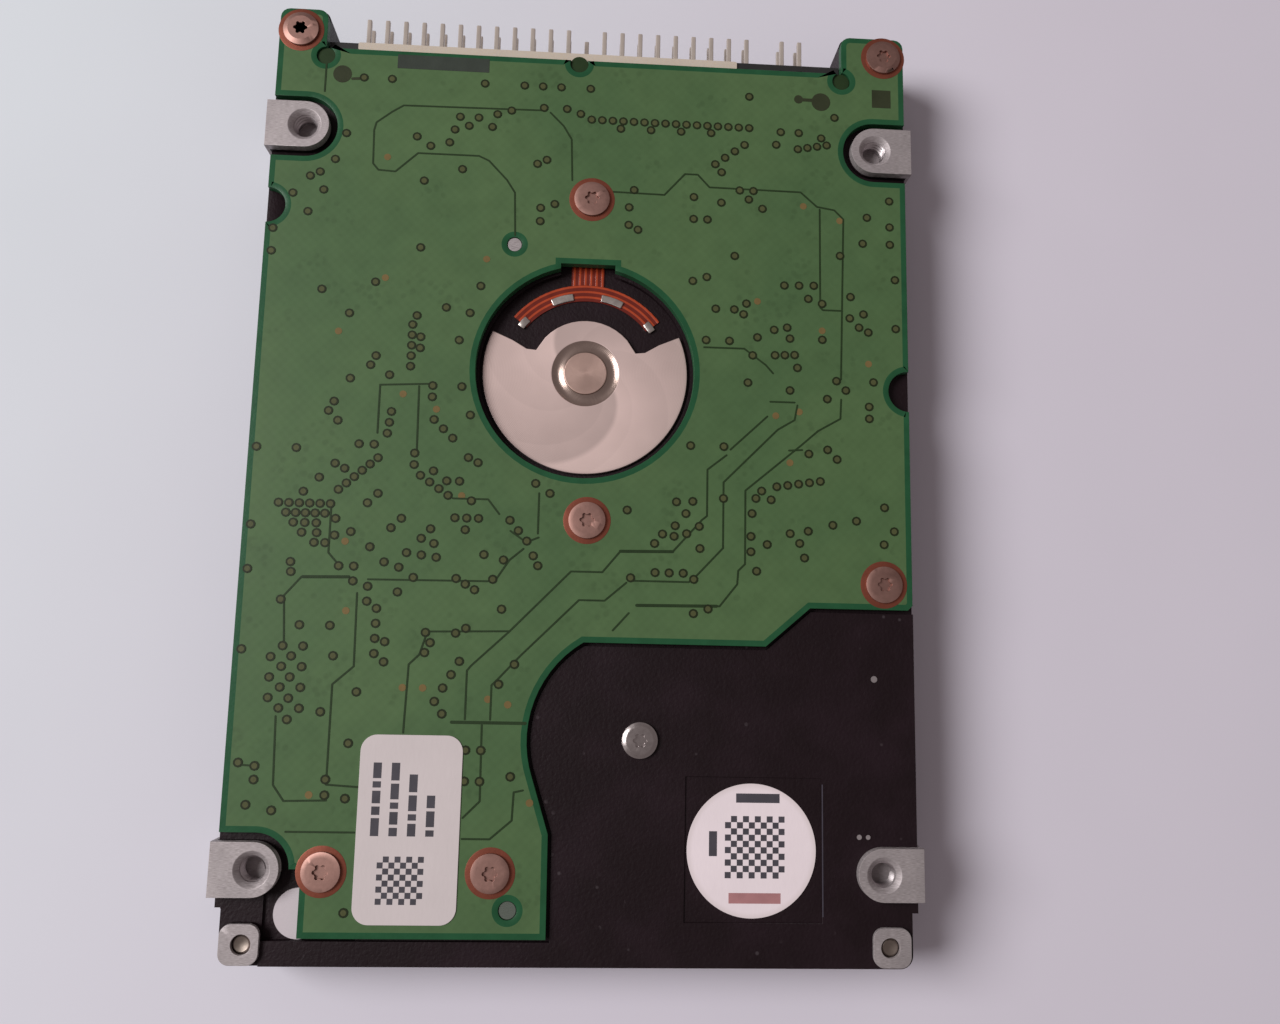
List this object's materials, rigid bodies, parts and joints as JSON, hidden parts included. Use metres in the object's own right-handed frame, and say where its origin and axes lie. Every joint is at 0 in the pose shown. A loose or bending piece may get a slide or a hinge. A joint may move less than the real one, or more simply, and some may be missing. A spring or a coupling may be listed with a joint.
{
  "type": "hard disk drive",
  "caption": "Slim hard disk drive with a black casting, green circuit board, motor window, pin connector, and platters and a swinging head arm inside.",
  "frame": {"origin": "centre of the bottom of the bounding box: the middle of the cover's outer face, on which the drive lies", "axes": "+Y towards the pin connector, +Z towards the circuit board, +X to the right as seen with the board up and the connector away from the viewer"},
  "size_m": [0.0698, 0.1002, 0.0095],
  "materials": {
    "casting_black": "black electrocoat with bare machined lugs, pads and bosses",
    "cover_steel": "fine brushed",
    "gasket_rubber": "matt",
    "label_white": "smooth satin film, bare",
    "board_green": "green solder mask",
    "screw_steel": "bright, turned",
    "plastic_black": "moulded",
    "plastic_ivory": "moulded",
    "contact_metal": "tinned",
    "chip_black": "moulded epoxy",
    "ceramic_tan": "fired ceramic",
    "bare_aluminium": "spiral turned",
    "bronze": "sintered",
    "core_steel": "stamped laminations",
    "copper_wire": "enamelled copper",
    "flex_orange": "polyimide film",
    "magnet_nickel": "nickel plated",
    "platter_mirror": "mirror",
    "yoke_nickel": "satin nickel",
    "ramp_white": "moulded",
    "filter_white": "woven"
  },
  "bodies": {
    "chassis": {"base_casting": "casting_black", "top_cover": "cover_steel", "cover_gasket": "gasket_rubber", "cover_screws": "screw_steel", "cover_label": "label_white", "circuit_board": "board_green", "board_screws": "screw_steel", "connector_housing": "plastic_black", "pin_insulator": "plastic_ivory", "connector_pins": "contact_metal", "controller_chip": "chip_black", "memory_chip": "chip_black", "motor_driver_chip": "chip_black", "flash_chip": "chip_black", "crystal": "screw_steel", "chip_capacitors": "ceramic_tan", "chip_resistors": "chip_black", "board_contacts": "plastic_ivory", "motor_base": "bare_aluminium", "thrust_cap": "bare_aluminium", "bearing_sleeve": "bronze", "stator_core": "core_steel", "stator_coils": "copper_wire", "motor_flex": "flex_orange", "solder_pads": "contact_metal", "pivot_inner_races": "screw_steel", "pivot_shaft": "screw_steel", "pivot_screw": "screw_steel", "arm_flex": "flex_orange", "flex_bracket": "screw_steel", "flex_header": "plastic_ivory", "base_yoke": "yoke_nickel", "cover_yoke": "yoke_nickel", "yoke_posts": "screw_steel", "yoke_screws": "screw_steel", "coil_magnets": "magnet_nickel", "crash_stops": "gasket_rubber", "load_ramp": "ramp_white", "ramp_screw": "screw_steel", "latch_pin": "screw_steel", "recirculation_filter": "filter_white", "desiccant_pack": "filter_white", "round_label": "label_white", "board_label": "label_white"},
    "spindle": {"rotor_hub": "bare_aluminium", "rotor_shaft": "screw_steel", "rotor_magnet": "core_steel", "lower_platter": "platter_mirror", "platter_spacer": "bare_aluminium", "upper_platter": "platter_mirror", "disk_clamp": "bare_aluminium", "clamp_screw": "screw_steel"},
    "actuator": {"actuator_block": "bare_aluminium", "voice_coil": "copper_wire", "suspensions": "screw_steel", "head_sliders": "chip_black", "pivot_sleeve": "screw_steel", "pivot_outer_races": "screw_steel", "pivot_balls": "screw_steel"},
    "latch_lever": {"latch": "plastic_black"}
  },
  "joints": [
    {"name": "spindle_spin", "type": "hinge", "parent": "chassis", "child": "spindle", "pos_m": [-0.0002, 0.0102, 0], "axis": [0, 0, 1], "continuous": true},
    {"name": "actuator_swing", "type": "hinge", "parent": "chassis", "child": "actuator", "pos_m": [0.0063, -0.0278, 0], "axis": [0, 0, -1], "range_deg": [0, 38], "deforming": ["arm_flex"]},
    {"name": "latch_tip", "type": "hinge", "parent": "chassis", "child": "latch_lever", "pos_m": [0.028, -0.031, 0], "axis": [0, 0, 1], "range_deg": [0, 8]}
  ]
}
